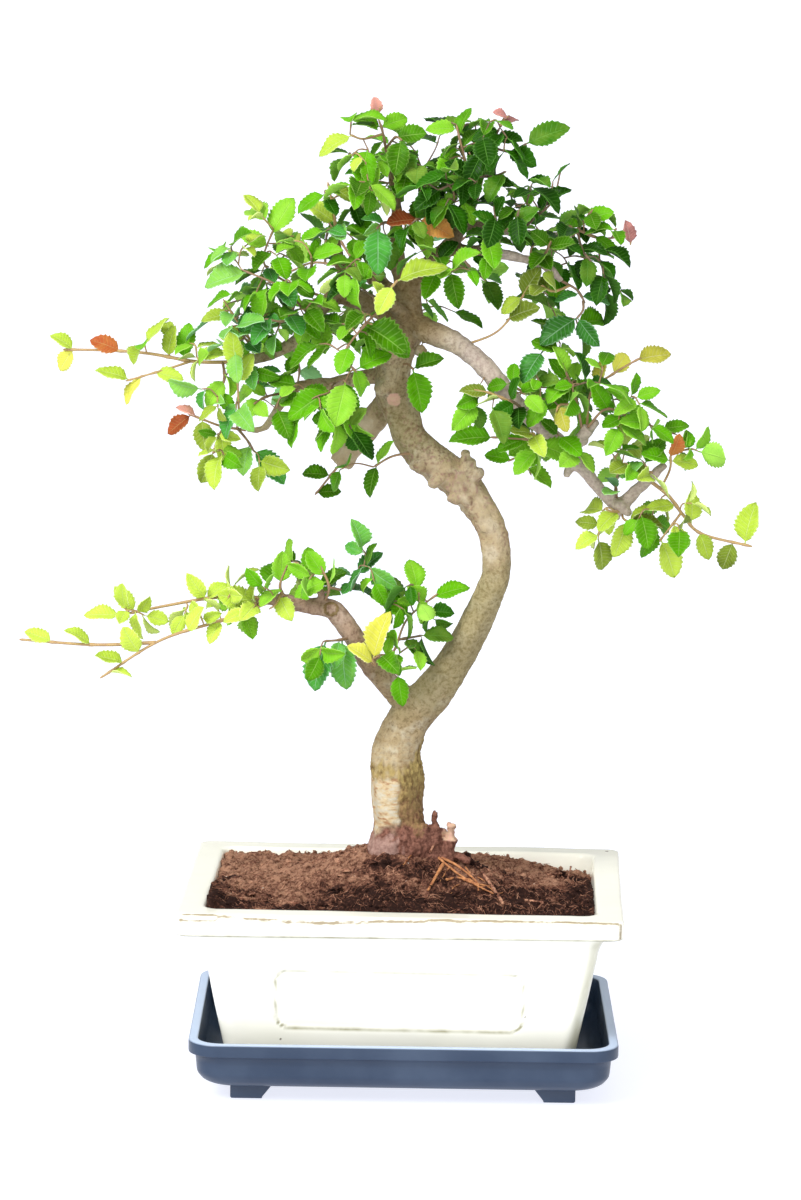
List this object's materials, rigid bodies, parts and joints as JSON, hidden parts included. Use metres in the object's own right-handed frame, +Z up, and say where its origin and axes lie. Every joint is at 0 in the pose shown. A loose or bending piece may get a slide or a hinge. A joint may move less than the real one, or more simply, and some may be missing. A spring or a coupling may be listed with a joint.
{
  "type": "chinese elm bonsai",
  "caption": "Small S-shaped elm bonsai with toothed leaves in a glazed rectangular pot of soil that stands in a footed drip tray.",
  "frame": {"origin": "middle of the whole object's box, on the floor that the tray's feet stand on", "axes": "+Z up the trunk, X along the pot's long side, -Y towards the front that the viewer sees"},
  "size_m": [0.3466, 0.1754, 0.4626],
  "materials": {
    "tray_plastic": "satin",
    "pot_glaze": "gloss",
    "mesh_plastic": "matte",
    "compost": "matte",
    "bark": "matte",
    "rootlet": "matte",
    "leaf_bronze": "satin",
    "leaf_deep": "satin",
    "leaf_gold": "satin",
    "leaf_green": "satin",
    "leaf_lime": "satin",
    "leaf_pink": "satin",
    "leaf_teal": "satin"
  },
  "bodies": {
    "root": {"drip_tray": "tray_plastic", "pot": "pot_glaze", "drain_mesh_left": "mesh_plastic", "drain_mesh_right": "mesh_plastic", "soil": "compost", "tree_wood": "bark", "surface_roots": "rootlet", "crown_tip": "leaf_green", "crown_tip_bud": "leaf_pink", "crown_peak": "leaf_green", "crown_peak_right": "leaf_deep", "crown_peak_bud": "leaf_pink", "crown_brow": "leaf_deep", "crown_face": "leaf_deep", "crown_shoulder": "leaf_deep", "crown_shoulder_end": "leaf_green", "crown_right_bud": "leaf_pink", "shelf_face": "leaf_green", "shelf_tip": "leaf_teal", "crown_inner": "leaf_green", "crown_gold": "leaf_lime", "crown_bronze": "leaf_bronze", "crown_teal": "leaf_teal", "crown_left_fork": "leaf_lime", "crown_left_rise": "leaf_green", "crown_left_edge": "leaf_teal", "left_lime": "leaf_lime", "far_left": "leaf_lime", "left_low_tip": "leaf_bronze", "left_low_face": "leaf_green", "front_low": "leaf_green", "front_bright": "leaf_green", "bend_leaf": "leaf_green", "right_straight": "leaf_lime", "right_under": "leaf_deep", "right_rise": "leaf_green", "right_gold": "leaf_gold", "right_reach": "leaf_green", "right_slender": "leaf_green", "right_pale": "leaf_green", "right_knot_top": "leaf_teal", "right_knot_under": "leaf_lime", "right_tip": "leaf_lime", "low_shoot_top": "leaf_lime", "low_shoot": "leaf_lime", "low_knob": "leaf_green", "low_twig": "leaf_green", "low_hang": "leaf_teal", "low_gold": "leaf_gold", "low_right": "leaf_green", "rear_twig": "leaf_green", "bend_twig": "leaf_green", "rear_right_twig": "leaf_green", "rear_end": "leaf_green", "rear_left_twig": "leaf_green", "rear_left_end": "leaf_green", "rear_top": "leaf_deep", "rear_shoulder": "leaf_green", "rear_right": "leaf_green", "rear_left": "leaf_green"}
  },
  "joints": []
}
